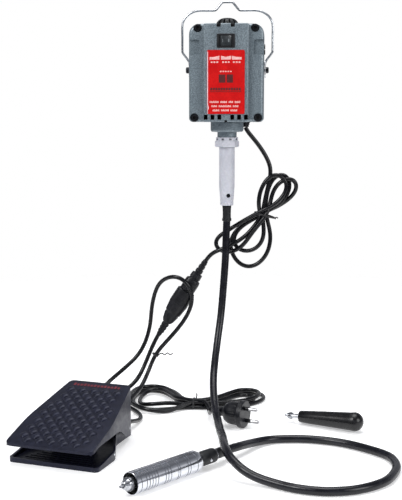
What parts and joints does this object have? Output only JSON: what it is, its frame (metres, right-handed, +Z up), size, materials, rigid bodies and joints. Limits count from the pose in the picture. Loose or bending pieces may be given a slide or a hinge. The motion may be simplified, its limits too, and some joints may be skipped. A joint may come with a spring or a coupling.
{
  "type": "rotary tool with flex shaft",
  "caption": "Hang-up motor on a wire bail driving a chuck handpiece through a flexible sheathed shaft, with a foot pedal, mains lead and chuck key.",
  "frame": {"origin": "where a hook carries the bail: the underside of the bail's top bar, in its middle", "axes": "+Z up, -Y towards the user, the way the motor's label faces, +X to the right seen from the front"},
  "size_m": [0.4728, 0.4586, 0.571],
  "materials": {
    "housing": "hammertone powder coat",
    "black_plastic": "satin moulded",
    "black_cord": "smooth semi-gloss",
    "switch_grey": "satin",
    "label": "printed film",
    "white_sleeve": "satin",
    "zinc": "zinc plated",
    "pedal": "textured",
    "wire": "bright drawn",
    "chrome": "polished",
    "machined": "turned",
    "laminations": "stacked sheet",
    "carbon": "pressed carbon",
    "copper": "copper bars"
  },
  "bodies": {
    "root": {"front_shell": "housing", "rear_shell": "housing", "nose_collar": "housing", "top_vent_cap": "black_plastic", "shell_screw_top_left": "black_plastic", "shell_screw_top_right": "black_plastic", "shell_screw_bottom_left": "black_plastic", "shell_screw_bottom_right": "black_plastic", "switch_frame": "black_plastic", "name_plate": "label", "brush_cap_left": "black_plastic", "brush_cap_right": "black_plastic", "upper_bearing": "machined", "lower_bearing": "machined", "field_core": "laminations", "cord_gland": "black_cord", "bail_screw_left": "black_plastic", "bail_screw_right": "black_plastic", "coupling_nut": "zinc", "connector_sleeve": "white_sleeve", "sleeve_set_screw": "machined", "sheath_ferrule": "black_plastic", "sheath": "black_cord", "flex_core": "machined", "tool_end_coupler": "black_plastic", "pedal_base": "pedal", "hinge_pin": "machined", "return_spring": "wire", "speed_control": "black_plastic", "motor_cord": "black_cord", "motor_cord_hank": "black_cord", "inline_plug": "black_plastic", "inline_socket": "black_plastic", "pedal_lead": "black_cord", "mains_lead": "black_cord", "mains_hank": "black_cord", "mains_plug": "black_plastic"},
    "bail": {"bail": "wire"},
    "rocker": {"switch_rocker": "switch_grey"},
    "armature": {"armature_shaft": "machined", "armature_core": "laminations", "commutator": "copper", "cooling_fan": "switch_grey"},
    "brush_left": {"carbon_brush_left": "carbon"},
    "brush_right": {"carbon_brush_right": "carbon"},
    "drive_key": {"key_tip": "machined"},
    "handpiece": {"handpiece_barrel": "chrome", "nose_ring": "black_plastic", "spindle_bearing": "machined"},
    "spindle": {"spindle_shaft": "machined", "chuck_body": "machined"},
    "chuck_ring": {"chuck_sleeve": "machined"},
    "jaw_1": {"jaw_1": "machined"},
    "jaw_2": {"jaw_2": "machined"},
    "jaw_3": {"jaw_3": "machined"},
    "treadle": {"treadle": "pedal"},
    "plunger": {"control_plunger": "white_sleeve"},
    "chuck_key": {"key_shank": "chrome", "key_handle": "black_plastic"}
  },
  "joints": [
    {"name": "bail_swing", "type": "hinge", "parent": "root", "child": "bail", "pos_m": [0, 0, -0.091], "axis": [1, 0, 0], "range_deg": [-90, 90]},
    {"name": "rocker_tilt", "type": "hinge", "parent": "root", "child": "rocker", "pos_m": [0, -0.0395, -0.053], "axis": [0, 0, 1], "range_deg": [-10, 10]},
    {"name": "armature_spin", "type": "hinge", "parent": "root", "child": "armature", "pos_m": [0, 0, -0.1], "axis": [0, 0, -1], "continuous": true},
    {"name": "brush_left_slide", "type": "slide", "parent": "root", "child": "brush_left", "axis": [-1, 0, 0], "range_m": [0, 0.004], "stiffness_N_per_m": 60, "springref_m": -0.02},
    {"name": "brush_right_slide", "type": "slide", "parent": "root", "child": "brush_right", "axis": [1, 0, 0], "range_m": [0, 0.004], "stiffness_N_per_m": 60, "springref_m": -0.02},
    {"name": "drive_key_spin", "type": "hinge", "parent": "root", "child": "drive_key", "pos_m": [-0.03916, -0.31008, -0.5545], "axis": [-0.6388, -0.7694, 0], "continuous": true},
    {"name": "handpiece_pull_off", "type": "slide", "parent": "root", "child": "handpiece", "axis": [-0.6388, -0.7694, 0], "range_m": [0, 0.05]},
    {"name": "spindle_spin", "type": "hinge", "parent": "handpiece", "child": "spindle", "pos_m": [-0.05833, -0.33316, -0.5545], "axis": [-0.6388, -0.7694, 0], "continuous": true},
    {"name": "chuck_ring_turn", "type": "hinge", "parent": "spindle", "child": "chuck_ring", "pos_m": [-0.08835, -0.36933, -0.5545], "axis": [-0.6388, -0.7694, 0], "range_deg": [0, 540]},
    {"name": "jaw_1_slide", "type": "slide", "parent": "spindle", "child": "jaw_1", "axis": [0.6264, 0.7545, -0.1961], "range_m": [0, 0.007]},
    {"name": "jaw_2_slide", "type": "slide", "parent": "spindle", "child": "jaw_2", "axis": [0.757, 0.646, 0.0981], "range_m": [0, 0.007]},
    {"name": "jaw_3_slide", "type": "slide", "parent": "spindle", "child": "jaw_3", "axis": [0.4957, 0.8629, 0.0981], "range_m": [0, 0.007]},
    {"name": "treadle_press", "type": "hinge", "parent": "root", "child": "treadle", "pos_m": [-0.15922, -0.16396, -0.552], "axis": [0.9613, -0.2756, 0], "range_deg": [0, 7], "stiffness_Nm_per_rad": 2, "springref_deg": -20.05, "deforming": ["return_spring"]},
    {"name": "plunger_slide", "type": "slide", "parent": "root", "child": "plunger", "axis": [0, 0, -1], "range_m": [0, 0.0085]},
    {"name": "chuck_key_lift", "type": "slide", "parent": "root", "child": "chuck_key", "axis": [0, 0, 1], "range_m": [0, 0.08]}
  ],
  "couplings": [
    {"joint": "drive_key_spin", "follows": "armature_spin", "ratio": 1},
    {"joint": "spindle_spin", "follows": "armature_spin", "ratio": 1},
    {"joint": "jaw_1_slide", "follows": "chuck_ring_turn", "m_per_rad": 0.00074},
    {"joint": "jaw_2_slide", "follows": "chuck_ring_turn", "m_per_rad": 0.00074},
    {"joint": "jaw_3_slide", "follows": "chuck_ring_turn", "m_per_rad": 0.00074},
    {"joint": "plunger_slide", "follows": "treadle_press", "m_per_rad": 0.069}
  ]
}
